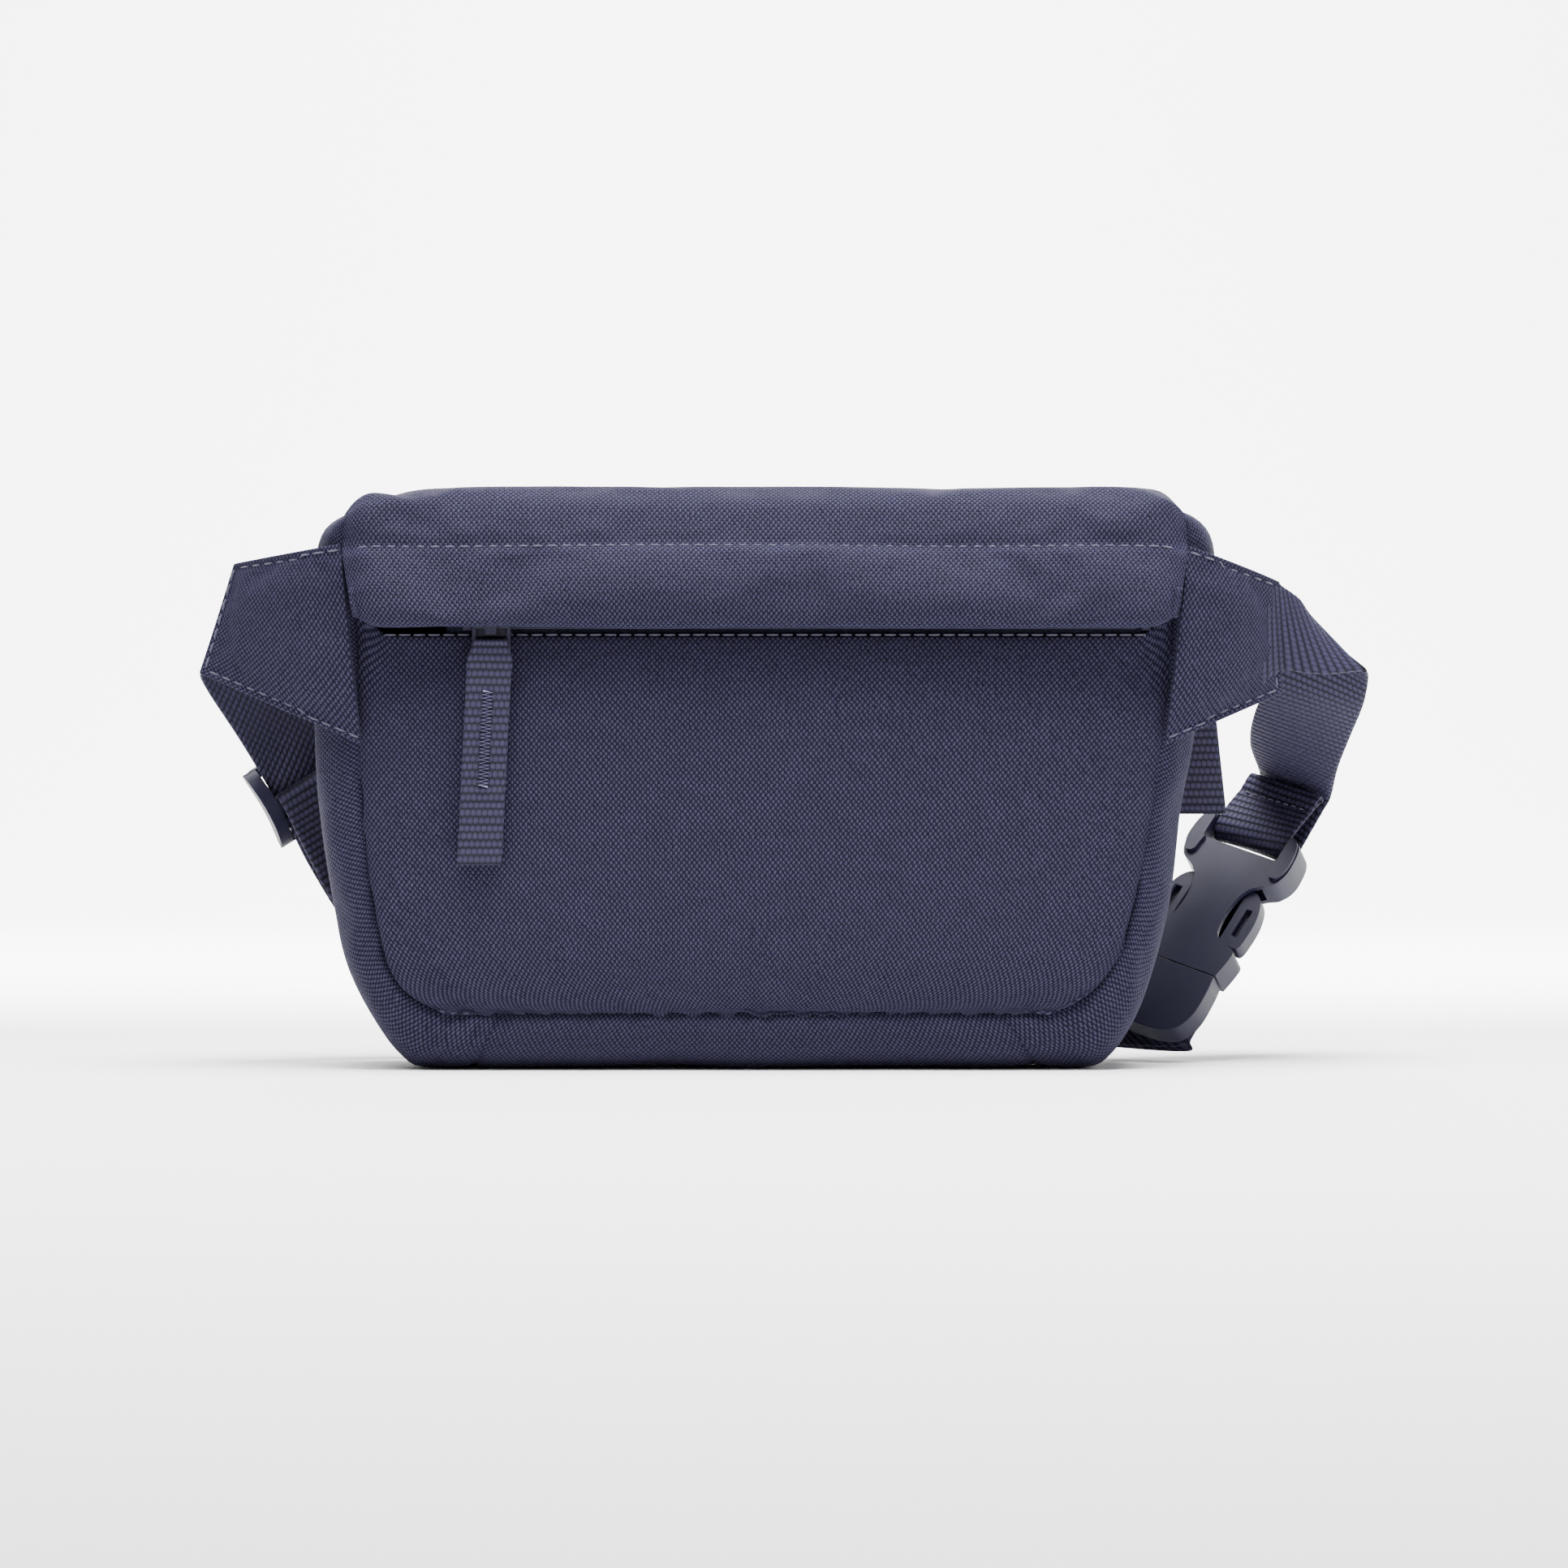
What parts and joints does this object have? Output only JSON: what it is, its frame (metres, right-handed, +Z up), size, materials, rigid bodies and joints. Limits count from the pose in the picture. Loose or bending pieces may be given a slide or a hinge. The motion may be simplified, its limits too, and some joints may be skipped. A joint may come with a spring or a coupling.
{
  "type": "waist pack",
  "caption": "Sewn fabric waist pack with a covered zip, padded hip wings and a webbing belt clasped behind it by a side-release buckle.",
  "frame": {"origin": "middle of the flat base the pouch stands on", "axes": "+Z up, front panel towards -Y, +X to the right seen from the front"},
  "size_m": [0.3376, 0.1061, 0.164],
  "materials": {
    "canvas": "plain-weave coated polyester, dark indigo",
    "webbing": "ribbed polyester webbing",
    "lining": "smooth thin polyester",
    "foam": "closed-cell foam sheet",
    "zip_tape": "knitted zip tape",
    "zip_coil": "nylon coil",
    "buckle_plastic": "moulded acetal, satin"
  },
  "bodies": {
    "pouch": {"front_panel": "canvas", "side_gusset_left": "canvas", "side_gusset_right": "canvas", "bottom_gusset": "canvas", "back_panel": "canvas", "back_foam_pad": "foam", "lining_bag": "lining", "zip_tape_lower": "zip_tape", "zip_coil_lower": "zip_coil", "zip_stop_left": "buckle_plastic", "zip_stop_right": "buckle_plastic", "side_loop": "webbing", "belt_webbing": "webbing", "fixed_strap_upper": "webbing", "fixed_strap_lower": "webbing", "buckle_clip": "buckle_plastic"},
    "lid": {"top_panel": "canvas", "storm_flap": "canvas", "zip_facing": "canvas", "zip_tape_upper": "zip_tape", "zip_coil_upper": "zip_coil"},
    "slider": {"zip_slider": "buckle_plastic"},
    "pull": {"pull_link": "buckle_plastic", "pull_tab": "webbing"},
    "wing_left": {"wing_left_face": "canvas", "wing_left_foam": "foam", "wing_left_backing": "lining"},
    "wing_right": {"wing_right_face": "canvas", "wing_right_foam": "foam", "wing_right_backing": "lining"},
    "receiver": {"buckle_receiver": "buckle_plastic"},
    "arm_left": {"buckle_arm_left": "buckle_plastic"},
    "arm_right": {"buckle_arm_right": "buckle_plastic"},
    "adjuster": {"slide_adjuster": "buckle_plastic", "belt_sewn_end": "webbing"}
  },
  "joints": [
    {"name": "mouth_open", "type": "hinge", "parent": "pouch", "child": "lid", "pos_m": [0, 0.028, 0.15], "axis": [-1, 0, 0], "range_deg": [0, 12], "deforming": ["zip_coil_upper", "zip_tape_upper"]},
    {"name": "zip_slide", "type": "slide", "parent": "pouch", "child": "slider", "axis": [1, 0, 0], "range_m": [0, 0.176]},
    {"name": "pull_swing", "type": "hinge", "parent": "slider", "child": "pull", "pos_m": [-0.077, -0.03035, 0.1253], "axis": [-1, 0, 0], "range_deg": [0, 20]},
    {"name": "wing_left_fold", "type": "hinge", "parent": "pouch", "child": "wing_left", "pos_m": [-0.1138, -0.0298, 0.092], "axis": [-0.0995, 0, 0.995], "range_deg": [-5, 25], "deforming": ["belt_webbing"]},
    {"name": "wing_right_fold", "type": "hinge", "parent": "pouch", "child": "wing_right", "pos_m": [0.1134, -0.0298, 0.092], "axis": [-0.103, 0, -0.9947], "range_deg": [-5, 25], "deforming": ["fixed_strap_upper"]},
    {"name": "buckle_release", "type": "slide", "parent": "pouch", "child": "receiver", "axis": [0.5238, 0.3499, 0.7767], "range_m": [0, 0.03], "deforming": ["fixed_strap_lower", "buckle_arm_left", "buckle_arm_right"]},
    {"name": "arm_left_squeeze", "type": "hinge", "parent": "pouch", "child": "arm_left", "pos_m": [0.11366, 0.04023, 0.02947], "axis": [0.3249, 0.7608, -0.5618], "range_deg": [0, 6], "stiffness_Nm_per_rad": 2.4},
    {"name": "arm_right_squeeze", "type": "hinge", "parent": "pouch", "child": "arm_right", "pos_m": [0.12831, 0.03006, 0.02417], "axis": [-0.3249, -0.7608, 0.5618], "range_deg": [0, 6], "stiffness_Nm_per_rad": 2.4},
    {"name": "adjuster_slide", "type": "slide", "parent": "pouch", "child": "adjuster", "axis": [0.4292, 0.3095, -0.8485], "range_m": [0, 0.008], "deforming": ["belt_webbing", "belt_sewn_end"]}
  ]
}
